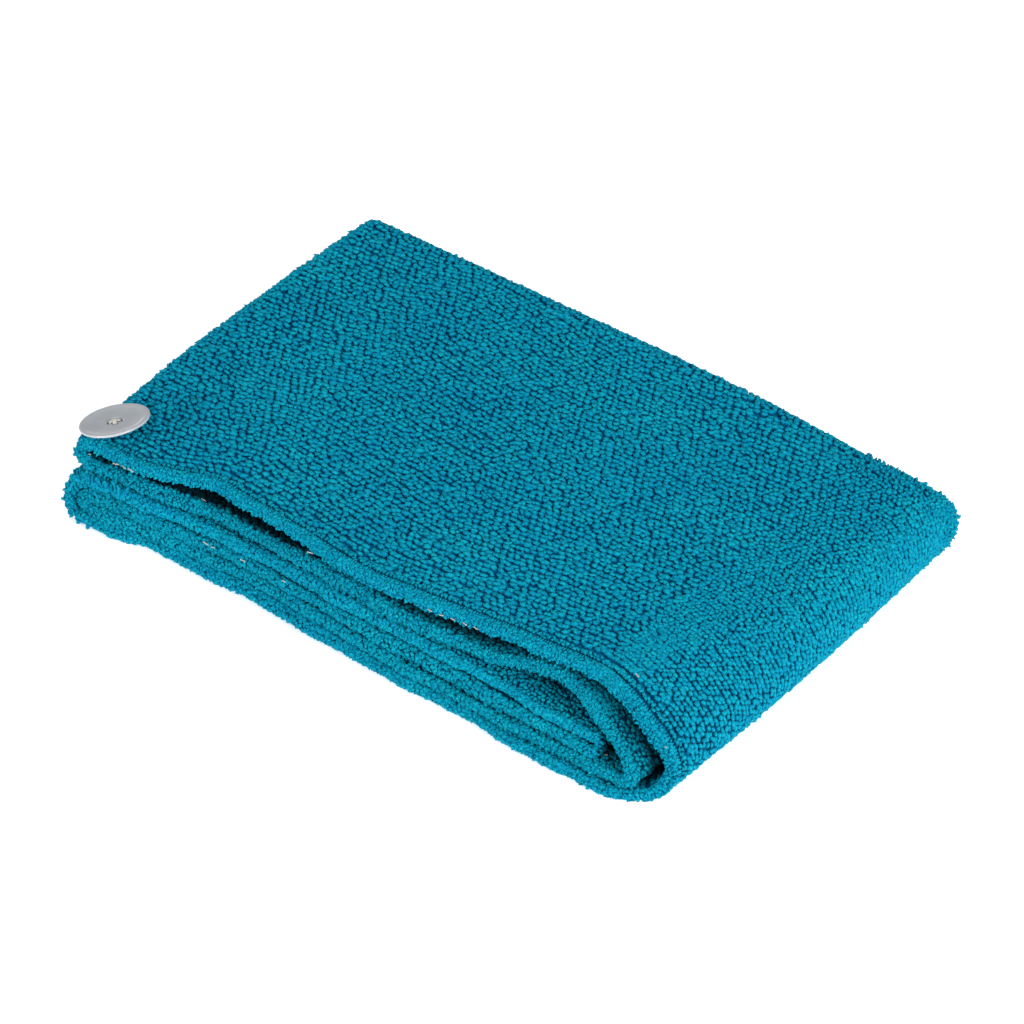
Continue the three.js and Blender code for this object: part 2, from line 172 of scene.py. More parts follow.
def photo_camera():
    azimuth = math.radians(view_azimuth)
    elevation = math.radians(view_elevation)
    right = Vector((math.cos(azimuth), math.sin(azimuth), 0))
    back = Vector((
        math.sin(azimuth) * math.cos(elevation),
        -math.cos(azimuth) * math.cos(elevation),
        math.sin(elevation),
    ))
    up = back.cross(right)
    aim = Vector(view_aim) + up * view_rise - right * view_shift
    lens = bpy.data.cameras.new("photo_view")
    lens.lens = focal_length_mm
    lens.sensor_width = 36.0
    lens.clip_end = 50
    camera = bpy.data.objects.new("photo_view", lens)
    place = Matrix((right, up, back)).transposed().to_4x4()
    place.translation = aim + back * view_distance
    camera.matrix_world = place
    bpy.context.scene.collection.objects.link(camera)
    bpy.context.scene.camera = camera


# Stations of a ply's path, each with a near and a far point (x, y, z, thickness) and a turned margin.
def leaf_stations(leaf):
    below, above, edge = leaf
    far_column = "tail" if edge == "seam" else edge
    turns = {"cover": cover_turns, "sole": sole_turns}.get(edge, [slight_turn] * 10)
    lift = ply_gap if below in ("sole", "low", "seam") else 0.0
    rows = []
    for i, x in enumerate(near_sections["x"]):
        near_low = near_sections[below][i] + lift if below else 0.0
        far_low = far_stack[below] + lift if below else 0.0
        near_top = near_sections[above][i]
        far_top = far_stack[above]
        rows.append((
            (x, near_edges[edge][i], (near_low + near_top) / 2, near_top - near_low),
            (x, far_edges[far_column][i], (far_low + far_top) / 2, far_top - far_low),
            turns[i],
        ))
    return rows


def mix(a, b, share):
    return a + (b - a) * share


def bend_stations(rows, start, end):
    middle = (start[1][2] + end[1][2]) / 2
    radius = (start[1][2] - end[1][2]) / 2
    made = []
    for i, (x, z, thick, edge, degrees) in enumerate(rows):
        angle = math.radians(degrees)
        share = (i + 1) / (len(rows) + 1)
        reach = far_corner_reach * math.sin(math.pi * share) ** 2
        far = (
            big_fold_far_x + radius * math.cos(angle),
            mix(start[1][1], end[1][1], share) + reach,
            middle + radius * math.sin(angle),
            mix(start[1][3], end[1][3], share) * far_bend_squeeze,
        )
        made.append(((x, edge, z, thick), far, lip_turn))
    return made


def fold_point(end, start, centre_x, degrees, share):
    angle = math.radians(degrees)
    radius = (end[2] - start[2]) / 2
    return [
        centre_x - radius * (math.cos(angle) - fold_lean * math.sin(angle)),
        mix(start[1], end[1], share),
        (end[2] + start[2]) / 2 + radius * math.sin(angle),
        mix(start[3], end[3], share) * fold_squeeze,
    ]


def tail_fold_stations(ply, start, end):
    made = []
    for i, degrees in enumerate(tail_fold_angles):
        share = (i + 1) / (len(tail_fold_angles) + 1)
        near = fold_point(end[0], start[0], tail_fold_near[ply], degrees, share)
        far = fold_point(end[1], start[1], tail_fold_far[ply], degrees, share)
        far[1] = tail_fold_far_edge[ply][i]
        made.append((near, far, slight_turn))
    return made


def ply_path(ply):
    """Nape end, upper leaf, big fold, lower leaf, tail fold and tail, as arrays."""
    leaf = leaves[ply]
    upper = leaf_stations(leaf["upper"])
    lower = leaf_stations(leaf["lower"])[::-1]
    tail = leaf_stations(leaf["tail"])
    near, far, turn = upper[0]
    nape = [
        (
            (near_x, near[1], near[2] + leaf["end_direction"] * near_drop, near[3]),
            (far_x, far[1], far[2] + leaf["end_direction"] * far_drop, far[3]),
            turn,
        )
        for near_x, near_drop, far_x, far_drop in nape_rows
    ]
    tip_near, tip_far, tip_turn = tail[-1]
    tip = (
        (tail_tip[0],) + tuple(tip_near[1:]),
        (tail_tip[1], tail_tip[2]) + tuple(tip_far[2:]),
        tip_turn,
    )
    rows = nape + upper + bend_stations(leaf["bend"], upper[-1], lower[0]) + lower
    rows += tail_fold_stations(ply, lower[-1], tail[0]) + tail + [tip]
    path = {side: np.array(column, float) for side, column in zip(("near", "far", "turn"), zip(*rows))}
    return {**path, "last": len(rows) - 1}


# Station numbers where the leaves of a path start.
UPPER, BEND, LOWER, TAIL_FOLD, TAIL, TIP = 3, 13, 19, 29, 34, 44


def smooth_line(points, at):
    """Centripetal spline through the points, read at fractional station numbers."""
    last = len(points) - 1
    i = np.clip(np.floor(at).astype(int), 0, last - 1)
    share = (at - i)[:, None]
    around = np.vstack([2 * points[0] - points[1], points, 2 * points[-1] - points[-2]])
    p0, p1, p2, p3 = (around[i + k] for k in range(4))
    step = [np.sqrt(np.linalg.norm(b - a, axis=1))[:, None] for a, b in ((p0, p1), (p1, p2), (p2, p3))]
    step = [np.maximum(s, 1e-4) for s in step]
    t1 = (p1 - p0) / step[0] - (p2 - p0) / (step[0] + step[1]) + (p2 - p1) / step[1]
    t2 = (p2 - p1) / step[1] - (p3 - p1) / (step[1] + step[2]) + (p3 - p2) / step[2]
    t1, t2 = t1 * step[1], t2 * step[1]
    c2 = -3 * p1 + 3 * p2 - 2 * t1 - t2
    c3 = 2 * p1 - 2 * p2 + t1 + t2
    return p1 + t1 * share + c2 * share**2 + c3 * share**3


def smoothstep(value, low, high):
    t = np.clip((value - low) / (high - low), 0, 1)
    return t * t * (3 - 2 * t)


def read_path(path, at):
    at = np.clip(at, 0, path["last"])
    numbers = np.arange(path["last"] + 1)
    return {
        "near": smooth_line(path["near"][:, :3], at),
        "far": smooth_line(path["far"][:, :3], at),
        "near_thick": np.interp(at, numbers, path["near"][:, 3]),
        "far_thick": np.interp(at, numbers, path["far"][:, 3]),
        "turn": np.interp(at, numbers, path["turn"]),
    }


def width_of(sample):
    return sample["far"][:, 1] - sample["near"][:, 1]


def centre_at(sample, y):
    across = np.clip((y - sample["near"][:, 1]) / width_of(sample), 0, 1)
    weight = (1 - across) ** 2
    x = mix(sample["far"][:, 0], sample["near"][:, 0], weight)
    z = mix(sample["far"][:, 2], sample["near"][:, 2], weight)
    return x, z, mix(sample["far_thick"], sample["near_thick"], weight)


def settle(points):
    """Bulge, crown, droop and ripple the whole pack, and centre it."""
    x, y, z = points.T
    across = np.clip((y - near_line) / folded_width, 0, 1)
    middle = 4 * across * (1 - across)
    to_nape = smoothstep(-x, *nape_zone)
    to_fold = smoothstep(x, *fold_zone)
    bulge = nape_bulge * to_nape + fold_bulge * to_fold
    crown = top_crown * middle * (1 - to_fold) * (1 - nape_crown_loss * to_nape)
    lowered = corner_droop * smoothstep(x, *droop_zone)
    tucked = corner_tuck * smoothstep(x, *tuck_zone)
    droop = across * across * (lowered + tucked)
    x_long, y_long, y_short, x_slow = ripple_lengths
    wave = np.sin(x / x_long + y / y_long) * np.cos(y / y_short - x / x_slow)
    height = z * (1 + crown - droop + ripple_share * middle * wave)
    return np.stack([x + bulge * middle - pack_centre[0], y - pack_centre[1], np.maximum(height, 0)], 1)


look_ahead = 0.05


def frame_of(path, at, y, roll):
    """Middle points of a ply at station numbers and widths, directions out and along, and thickness."""
    sample = read_path(path, at)
    ahead = read_path(path, at + look_ahead)
    behind = read_path(path, at - look_ahead)
    x, z, thick = centre_at(sample, y)
    ax, az, _ = centre_at(ahead, y + ahead["near"][:, 1] - sample["near"][:, 1])
    bx, bz, _ = centre_at(behind, y + behind["near"][:, 1] - sample["near"][:, 1])
    length = np.hypot(ax - bx, az - bz)
    zero = np.zeros_like(x)
    along = np.stack([(ax - bx) / length, zero, (az - bz) / length], 1)
    inward = np.stack([along[:, 2], zero, -along[:, 0]], 1)
    half_circle = math.pi * roll_radius
    angle = np.minimum(roll, half_circle) / roll_radius
    straight = np.maximum(roll - half_circle, 0)
    depth = roll_radius * (1 - np.cos(angle))
    middle = np.stack([x, y + roll_radius * np.sin(angle) - straight, z], 1) + inward * depth[:, None]
    outward = -inward * np.cos(angle)[:, None]
    outward[:, 1] = np.sin(angle)
    return middle, outward, along, thick


def unit(vectors):
    return vectors / np.maximum(np.linalg.norm(vectors, axis=1), 1e-9)[:, None]


def half_cloth(thick):
    """Half of the ground cloth: a ply's thickness without the loops on its two faces."""
    return np.maximum(thick / 2 - pile_height, thinnest_half_cloth)


# The hem along the head opening: how far in from the edge its grooves lie, and how deep they are.
hem_width = 5.0
hem_groove = 0.9
second_groove = 7.9
second_groove_depth = 0.75
groove_half_width = 0.6
hem_crown = 2.4
hem_crown_height = 0.45
hem_crown_half_width = 1.6
hem_starts = (0.5, 2.5)
hem_stops_after_bend = (4.5, 6)
hem_widens = (5.0, 9.5)
hem_fuzz_rows = (1.2, 2.0, 2.8)
hem_stitch_row = 3.75
hem_loop_rows = (6.1, 6.9)
hem_insets = (3.1, 3.8, 4.3, 4.65, 5.0, 5.35, 5.7, 6.3, 7.0, 7.5, 7.9, 8.3, 8.9, 10.0)
nape_hem_share = 0.76
hem_end = 9.2


def hem_scale(at):
    """The hem is narrower at the nape, where it curls, than at the big fold."""
    return mix(nape_hem_share, 1.0, smoothstep(at, *hem_widens))


def ridge(inset, middle, half_width=groove_half_width):
    return np.exp(-(((inset - middle) / half_width) ** 2))


def hem_relief(inset, at):
    """Height of the rounded hem and depth of its two grooves, along the opening only."""
    stop_start, stop_end = hem_stops_after_bend
    along_opening = smoothstep(at, *hem_starts) * (1 - smoothstep(at, BEND + stop_start, BEND + stop_end))
    inset = inset / hem_scale(at)
    first = -hem_groove * ridge(inset, hem_width)
    second = -second_groove_depth * ridge(inset, second_groove)
    crown = hem_crown_height * ridge(inset, hem_crown, hem_crown_half_width)
    return along_opening * (first + second + crown)


# Small waves of a ply's edge: height, length and phase of each.
wander_waves = ((0.35, 7.3, 1.0), (0.25, 3.4, 2.1))
wander_fade = 5


def edge_wander(x, seed):
    return sum(height * np.sin(x / length + phase * seed) for height, length, phase in wander_waves)


def face_points(ply, at, inset, roll, side):
    """Points on the ground cloth of a ply, and the directions out of it and along the path."""
    path = paths[ply]
    near_y = read_path(path, at)["near"][:, 1]
    wander = edge_wander(path_length(ply, at), wander_seed[ply])
    y = near_y + inset + wander * np.exp(-inset / wander_fade)
    middle, outward, along, thick = frame_of(path, at, y, roll)
    half = half_cloth(thick)
    if ply == "cover" and side > 0:
        half = half + hem_relief(inset, at)
    return settle(middle + outward * (side * half)[:, None]), outward * side, along


def path_length(ply, at, side=0):
    """Length along a ply's middle or one of its faces, in millimetres, up to station numbers."""
    return np.interp(at, *length_tables[ply, side])


def station_at(ply, length, side=0):
    return np.interp(length, *reversed(length_tables[ply, side]))


def length_table(path, side):
    """Station numbers and the length of the path up to each, the longer of its near and far lines."""
    at = np.linspace(0, path["last"], length_steps)
    lines = []
    for share in (0.05, 0.95):
        sample = read_path(path, at)
        y = mix(sample["near"][:, 1], sample["far"][:, 1], share)
        middle, outward, _, thick = frame_of(path, at, y, np.zeros_like(at))
        lines.append(middle + outward * (side * thick / 2)[:, None])
    steps = [np.linalg.norm(np.diff(line[:, [0, 2]], axis=0), axis=1) for line in lines]
    return at, np.concatenate([[0], np.cumsum(np.maximum(steps[0], steps[1]))])


length_steps = 2400
wander_seed = {"cover": 1.7, "inner": 4.2}
paths = {ply: ply_path(ply) for ply in leaves}
length_tables = {
    (ply, side): length_table(path, side) for ply, path in paths.items() for side in (-1, 0, 1)
}


# Mesh making from arrays, in millimetres.
def mesh_object(name, points, faces, shade):
    """A mesh of faces that all have the same number of corners, with the attribute pile."""
    mesh = bpy.data.meshes.new(name)
    count, corners = faces.shape
    mesh.vertices.add(len(points))
    mesh.vertices.foreach_set("co", (points * MM).astype(np.float32).ravel())
    mesh.loops.add(faces.size)
    mesh.loops.foreach_set("vertex_index", faces.ravel().astype(np.int32))
    mesh.polygons.add(count)
    mesh.polygons.foreach_set("loop_start", np.arange(0, faces.size, corners, np.int32))
    mesh.polygons.foreach_set("loop_total", np.full(count, corners, np.int32))
    mesh.polygons.foreach_set("use_smooth", np.ones(count, bool))
    layer = mesh.attributes.new("pile", "FLOAT_COLOR", "POINT")
    colours = np.ones((len(points), 4), np.float32)
    colours[:, :3] = shade
    layer.data.foreach_set("color", colours.ravel())
    mesh.update()
    mesh.validate()
    made = bpy.data.objects.new(name, mesh)
    bpy.context.scene.collection.objects.link(made)
    return made


# The ground cloth of each ply: a closed wall, fine enough for its soft edges. Its colour holds painted
# shade: dark for the shade between the loops, paler near the edges, and darkest in the grooves of the hem.
edge_rows = [(0.0, 0.72), (0.35, 0.42), (0.9, 0.16), (1.6, 0.03)]
# Painted shade of the ground cloth: its level overall, how much paler it is near the edges and how fast
# that fades, and the extra painted shade in the hem grooves.
ground_painted_shade_level = 0.25
edge_shade_lift = 0.3
edge_shade_lift_fade = 6
groove_painted_shade = 0.34
wall_step = 4.6
wall_flat_columns = 46
wall_margin_columns = 15
cut_edge_shrink = 0.5
end_shrink = 0.45
hem_reach_share = 0.2


def ground_wall(name, ply, rolled):
    """The cloth of one ply. Columns are (inset, roll round the margin, share its two faces close by)."""
    path = paths[ply]
    total = path_length(ply, path["last"])
    at = station_at(ply, np.linspace(0, total, int(total / wall_step)))
    at[0], at[-1] = 0.03, path["last"] - 0.06
    sample = read_path(path, at)
    reach = width_of(sample)
    hem = hem_scale(at) if rolled else np.ones_like(at)
    columns = [(inset + pile_height + 0 * at, 0 * at, shrink) for inset, shrink in edge_rows]
    for inset in hem_insets:
        columns.append((np.minimum(inset * hem, reach * hem_reach_share), 0 * reach, 0.0))
    first = columns[-1][0]
    for share in np.linspace(0, 1, wall_flat_columns)[1:-1]:
        columns.append((mix(first, reach - pile_height, share), 0 * reach, 0.0))
    if rolled:
        columns.append((reach, 0 * reach, 0.0))
        for share in np.linspace(0, 1, wall_margin_columns)[1:]:
            shrink = cut_edge_shrink if share == 1 else 0.0
            columns.append((reach, share * (sample["turn"] - pile_height), shrink))
    else:
        for inset, shrink in reversed(edge_rows):
            columns.append((reach - pile_height - inset, 0 * reach, shrink))
    grids = {}
    for side in (1, -1):
        lines = []
        for inset, roll, shrink in columns:
            points = face_points(ply, at, inset, roll, side)[0]
            opposite = face_points(ply, at, inset, roll, -side)[0]
            ends = np.zeros_like(at)
            ends[0] = ends[-1] = end_shrink
            pull = np.maximum(shrink, ends)[:, None] / 2
            lines.append(points + (opposite - points) * pull)
        grids[side] = np.stack(lines, 1)
    rows_long, rows_wide = grids[1].shape[:2]
    layer = rows_long * rows_wide
    number = np.arange(layer).reshape(rows_long, rows_wide)
    a, b, c, d = number[:-1, :-1], number[1:, :-1], number[1:, 1:], number[:-1, 1:]
    outside = np.stack([a, b, c, d], -1).reshape(-1, 4)
    inside = np.stack([a, d, c, b], -1).reshape(-1, 4) + layer
    near, far = number[:, 0], number[:, -1]
    start, end = number[0], number[-1]
    borders = ((near[:-1], near[1:]), (far[1:], far[:-1]), (start[1:], start[:-1]), (end[:-1], end[1:]))
    rim = np.concatenate([np.stack([p, p + layer, q + layer, q], 1) for p, q in borders])
    points = np.concatenate([grids[1].reshape(-1, 3), grids[-1].reshape(-1, 3)])
    from_edge = np.concatenate([np.tile([c[0].max() for c in columns], rows_long)] * 2)
    # Painted shade: darker in the gaps between the loops, less near the edges, darkest in the grooves.
    painted_shade_level = ground_painted_shade_level + edge_shade_lift * np.exp(-from_edge / edge_shade_lift_fade)
    painted_shade_level -= groove_painted_shade * np.maximum(ridge(from_edge, hem_width), ridge(from_edge, second_groove))
    shade = np.stack([np.full(len(points), 0.5), painted_shade_level, np.ones(len(points))], 1)
    return mesh_object(name, points, np.concatenate([outside, inside, rim]), shade)


# One terry loop, a small closed puff: rings of (height, radius), between a base and a crown point.
puff_rings = ((0.12, 0.96), (0.70, 0.84))
fuzz_rings = ((0.0, 0.9), (0.7, 0.85))
finger_rings = ((0.0, 1.0), (0.8, 0.7))
puff_sizes = (0.84, 1.16)
lowest_loop = 0.02


def puff_shape(sides, rings):
    points = [(0, 0, -0.3)]
    for k, (height, radius) in enumerate(rings):
        for i in range(sides):
            turn = 2 * math.pi * (i + 0.5 * (k % 2)) / sides
            points.append((radius * math.cos(turn), radius * math.sin(turn), height))
    points.append((0, 0, 1))
    faces = []
    for i in range(sides):
        j = (i + 1) % sides
        faces.append((0, 1 + j, 1 + i))
        for k in range(len(rings) - 1):
            low, high = 1 + k * sides, 1 + (k + 1) * sides
            faces.append((low + i, low + j, high + j))
            faces.append((low + i, high + j, high + i))
        top = 1 + (len(rings) - 1) * sides
        faces.append((top + i, top + j, len(points) - 1))
    return np.array(points), np.array(faces)


def puffs(name, spots, long, wide, high, lean, twist, foot, sides=5, rings=puff_rings, wobble=0.14):
    """A piece of terry loops. Spots are arrays of points, outward and along directions and the share of
    painted light left inside the openings. The attribute pile holds a random tint, a painted shade from
    the dark foot to the paler crown, and the painted shade inside the openings."""
    points, outward, along, painted_light_factor = spots
    count = len(points)
    shape, faces = puff_shape(sides, rings)
    across = unit(np.cross(outward, along))
    along = unit(np.cross(across, outward))
    angle = random.normal(0, twist, count)[:, None]
    u = along * np.cos(angle) + across * np.sin(angle)
    v = across * np.cos(angle) - along * np.sin(angle)
    size = random.uniform(*puff_sizes, (count, 3))
    tip = random.normal(0, lean, (count, 2))
    local = shape[None] * (1 + random.normal(0, wobble, (count, len(shape), 1)) * (shape[None, :, 2:] > 0))
    a = local[..., 0] * (long * size[:, :1]) + tip[:, :1] * np.maximum(local[..., 2], 0)
    b = local[..., 1] * (wide * size[:, 1:2]) + tip[:, 1:] * np.maximum(local[..., 2], 0)
    c = local[..., 2] * (high * size[:, 2:])
    placed = (
        points[:, None]
        + u[:, None] * a[..., None]
        + v[:, None] * b[..., None]
        + outward[:, None] * c[..., None]
    )
    placed[..., 2] = np.maximum(placed[..., 2], lowest_loop)
    tint = np.repeat(random.uniform(0, 1, count), len(shape))
    # Painted shade: dark at the foot of each loop, paler towards its crown.
    painted_shade_level = np.tile(foot + (1 - foot) * np.clip(shape[:, 2], 0, 1), count)
    # Painted shade inside the openings, kept in the attribute's third channel.
    light = np.repeat(painted_light_factor, len(shape))
    index = (faces[None] + (np.arange(count) * len(shape))[:, None, None]).reshape(-1, 3)
    return mesh_object(name, placed.reshape(-1, 3), index, np.stack([tint, painted_shade_level, light], 1))


# Waves of the rows of loops: height, and length along and across the rows.
row_waves = ((0.5, 31, 23), (0.3, 11.7, 9))


def lattice(ply, side, stations, insets, pitch, spacing, jitter=0.22):
    """Rows of loop places along a path, every other row half a pitch on, a little wavy."""
    start, end = (path_length(ply, s, side) for s in stations)
    lengths_found, insets_found = [], []
    for i, inset in enumerate(np.arange(insets[0], insets[1], spacing)):
        lengths = np.arange(start + pitch * 0.5 * (i % 2), end, pitch)
        lengths = lengths + random.normal(0, jitter * pitch * 0.5, len(lengths))
        wave = sum(high * np.sin(lengths / long + inset / wide) for high, long, wide in row_waves)
        lengths_found.append(lengths)
        insets_found.append(inset + wave + random.normal(0, jitter * spacing * 0.5, len(lengths)))
    lengths = np.clip(np.concatenate(lengths_found), start, end)
    return station_at(ply, lengths, side), np.concatenate(insets_found)


# Painted shade on the faces that look into the openings: the insets where the painted darkening starts
# and ends, and the least light left. The mouth has one set for the nape and one for the big fold.
mouth_painted_shade = ((1.0, 5.0, 0.03), (3.0, 19, 0.14))
pocket_painted_shade = (3.0, 13.0, 0.15)
tail_painted_shade = (5.0, 30.0, 0.25)


# Painted shade: the share of light left on loops inside the mouth, the pocket and the tail fold.
def painted_inside_shade(ply, side, at, inset):
    to_fold = 0.25 * smoothstep(at, UPPER + 3, UPPER + 6) + 0.75 * smoothstep(at, BEND - 3.5, BEND - 0.5)
    if (ply, side) in (("cover", -1), ("inner", 1)):
        start, end, least = (mix(a, b, to_fold) for a, b in zip(*mouth_painted_shade))
    elif ply == "inner":
        start, end, least = pocket_painted_shade
    else:
        start, end, least = tail_painted_shade
        least = mix(1.0, least, smoothstep(at, TAIL + 1, TAIL + 3))
    return least + (1 - least) * (1 - smoothstep(inset, start, end))


# Strips that a face leaves without loops, and how fast the rows beside the hem become straight.
near_edge_bare = 0.2
far_edge_bare = 1.4
margin_bare = 0.8
hem_pull_fade = 12


def face_spots(ply, side, stations, insets, pitch=loop_pitch, spacing=row_pitch, from_far=(-400, 60)):
    """Loop places on one face of a ply, between stations and between insets from its near edge.
    Past the far edge the rows go on round the turned-in margin."""
    at, inset = lattice(ply, side, stations, insets, pitch, spacing)
    sample = read_path(paths[ply], at)
    reach = width_of(sample)
    margin = sample["turn"] - margin_bare if ply == "cover" else -far_edge_bare
    past = inset - reach
    keep = (inset > near_edge_bare) & (past < margin) & (past > from_far[0]) & (past < from_far[1])
    at, inset, reach = at[keep], inset[keep], reach[keep]
    if ply == "cover" and side > 0 and insets[0] == hem_end:
        inset = inset - hem_end * (1 - hem_scale(at)) * np.exp(-(inset - hem_end) / hem_pull_fade)
    roll = np.maximum(inset - reach, 0)
    painted_light_factor = painted_inside_shade(ply, side, at, inset)
    return (*face_points(ply, at, np.minimum(inset, reach), roll, side), painted_light_factor)


def row_spots(ply, side, stations, inset, pitch, jitter):
    """One row of loop places, parallel to the near edge of a ply."""
    start, end = (path_length(ply, s) for s in stations)
    lengths = np.arange(start, end, pitch)
    lengths = lengths + random.normal(0, jitter * pitch, len(lengths))
    at = station_at(ply, np.clip(lengths, start, end))
    insets = inset * hem_scale(at) + random.normal(0, jitter, len(at))
    return (*face_points(ply, at, insets, np.zeros_like(at), side), np.ones(len(at)))


place_jitter = 0.15
fan_jitter = 5
rim_depth = 2.5


def join_spots(*several):
    return tuple(np.concatenate(part) for part in zip(*several))


def fan_rows(start, end, pitch, degrees):
    """Rows of places from start to end, every other row half a pitch on, with the tilts of their loops."""
    for i, tilt in enumerate(degrees):
        places = np.arange(start + pitch * 0.5 * (i % 2), end, pitch)
        places = places + random.normal(0, place_jitter * pitch, len(places))
        yield places, np.radians(tilt + random.normal(0, fan_jitter, len(places)))[:, None]


def rim_spots(ply, stations, pitch, degrees, far=False):
    """Loop places round the rounded near or far edge of a ply."""
    start, end = (path_length(ply, s) for s in stations)
    inwards = -1.0 if far else 1.0
    found = []
    for lengths, angle in fan_rows(start, end, pitch, degrees):
        at = station_at(ply, lengths)
        sample = read_path(paths[ply], at)
        edge = sample["near"][:, 1] + edge_wander(path_length(ply, at), wander_seed[ply])
        if far:
            edge = sample["far"][:, 1]
        middle, outward, along, thick = frame_of(paths[ply], at, edge + inwards * rim_depth, 0 * at)
        half = half_cloth(thick)
        middle[:, 1] = edge + inwards * (pile_height + half)
        level = np.zeros_like(middle)
        level[:, 1] = -inwards
        direction = level * np.cos(angle) + outward * np.sin(angle)
        found.append((settle(middle + direction * half[:, None]), direction, along, np.ones(len(at))))
    return join_spots(*found)


def margin_spots(ply, stations, pitch, degrees):
    """Loop places round the cut edge of the turned-in margin."""
    start, end = (path_length(ply, s) for s in stations)
    found = []
    for lengths, angle in fan_rows(start, end, pitch, degrees):
        at = station_at(ply, lengths)
        sample = read_path(paths[ply], at)
        roll = sample["turn"] - pile_height
        middle, outward, along, thick = frame_of(paths[ply], at, sample["far"][:, 1], roll)
        direction = unit(np.cross(outward, along)) * np.cos(angle) + outward * np.sin(angle)
        foot = settle(middle + direction * half_cloth(thick)[:, None])
        found.append((foot, direction, along, np.ones(len(at))))
    return join_spots(*found)


def end_spots(ply, station, width_range, pitch, degrees):
    """Loop places round the end of a ply, across its width. Degrees run from one face to the other."""
    found = []
    for inset, angle in fan_rows(*width_range, pitch, degrees):
        at = np.full(len(inset), float(station))
        sample = read_path(paths[ply], at)
        reach = width_of(sample)
        y = sample["near"][:, 1] + np.minimum(inset, reach)
        middle, outward, along, thick = frame_of(paths[ply], at, y, np.maximum(inset - reach, 0))
        half = half_cloth(thick)[:, None]
        away = along * (-1.0 if station < 1 else 1.0)
        direction = away * np.cos(angle) + outward * np.sin(angle)
        across = unit(np.cross(away, outward))
        found.append((settle(middle + direction * half - away * half), direction, across, np.ones(len(at))))
    return join_spots(*found)


# Materials.
def node_material(name):
    material = bpy.data.materials.new(name)
    material.use_nodes = True
    tree = material.node_tree
    return material, tree, tree.nodes["Principled BSDF"]


def set_inputs(node, **values):
    for key, value in values.items():
        node.inputs[key.replace("_", " ")].default_value = value


def new_node(tree, kind, **values):
    node = tree.nodes.new("ShaderNode" + kind)
    set_inputs(node, **values)
    return node


def object_noise(tree, scale, detail, roughness):
    place = new_node(tree, "TexCoord")
    noise = new_node(tree, "TexNoise", Scale=scale, Detail=detail, Roughness=roughness)
    tree.links.new(place.outputs["Object"], noise.inputs["Vector"])
    return noise


def colour_ramp(tree, *stops):
    ramp = new_node(tree, "ValToRGB")
    for element, (position, colour) in zip(ramp.color_ramp.elements, stops):
        element.position = position
        element.color = (*colour, 1)
    return ramp


def product(tree, first, second):
    share = new_node(tree, "Math")
    share.operation = "MULTIPLY"
    tree.links.new(first, share.inputs[0])
    tree.links.new(second, share.inputs[1])
    return share.outputs["Value"]


def colour_mix(tree, socket, colour):
    """A colour mix with one of its two sides, A or B, already set."""
    blend = new_node(tree, "Mix")
    blend.data_type = "RGBA"
    blend.inputs[socket].default_value = (*colour, 1)
    return blend


def add_bump(tree, shader, noise, strength, distance):
    bump = new_node(tree, "Bump", Strength=strength, Distance=distance)
    tree.links.new(noise.outputs["Fac"], bump.inputs["Height"])
    tree.links.new(bump.outputs["Normal"], shader.inputs["Normal"])


# Near-black colour painted on loops deep inside the openings, as painted shade.
painted_inside_shade_colour = (0.0, 0.004, 0.008)
teal_sheen = (0.02, 0.75, 1.0, 1)


def terry_material(name, painted_foot_shade, middle, bright, sheen):
    """Looped cloth: painted shade between the loops and at their feet, paler at their crowns, partly
    painted light, with fine fibres that partly stand for painted glints, and painted shade deep in the
    openings.
    """
    material, tree, shader = node_material(name)
    link = tree.links.new
    pile = new_node(tree, "Attribute")
    pile.attribute_name = "pile"
    parts = new_node(tree, "SeparateColor")
    link(pile.outputs["Color"], parts.inputs["Color"])
    # Painted shade from the dark foot of each loop to its crown, and on the ground cloth between the loops.
    painted_shade_level = colour_ramp(tree, (0.0, painted_foot_shade), (0.85, middle))
    link(parts.outputs["Green"], painted_shade_level.inputs["Fac"])
    fibres = object_noise(tree, 1500.0, 2.0, 0.65)
    patches = object_noise(tree, 28.0, 2.0, 0.5)
    tint = new_node(tree, "MapRange", To_Max=0.75)
    link(parts.outputs["Red"], tint.inputs["Value"])
    share = product(tree, tint.outputs["Result"], patches.outputs["Fac"])
    # Paler loops at random and in patches, strongest at the crowns: real tone variation, with painted light
    # on the crowns.
    pale = colour_mix(tree, "B", bright)
    link(product(tree, share, parts.outputs["Green"]), pale.inputs["Factor"])
    link(painted_shade_level.outputs["Color"], pale.inputs["A"])
    # Fine fibre grain, which also stands for painted glints on the fibres.
    fibre_grain_and_glints = new_node(tree, "MapRange", From_Min=0.3, From_Max=0.7, To_Min=0.72, To_Max=1.3)
    link(fibres.outputs["Fac"], fibre_grain_and_glints.inputs["Value"])
    strands = new_node(tree, "HueSaturation")
    link(fibre_grain_and_glints.outputs["Result"], strands.inputs["Value"])
    link(pale.outputs["Result"], strands.inputs["Color"])
    # Painted shade: loops deep inside the openings are mixed towards near black.
    painted_inside_shade_mix = colour_mix(tree, "A", painted_inside_shade_colour)
    link(parts.outputs["Blue"], painted_inside_shade_mix.inputs["Factor"])
    link(strands.outputs["Color"], painted_inside_shade_mix.inputs["B"])
    link(painted_inside_shade_mix.outputs["Result"], shader.inputs["Base Color"])
    add_bump(tree, shader, fibres, 0.5, 0.0003)
    set_inputs(shader, Roughness=0.9, Specular_IOR_Level=0.06)
    set_inputs(shader, Sheen_Weight=sheen, Sheen_Roughness=0.45, Sheen_Tint=teal_sheen)
    return material


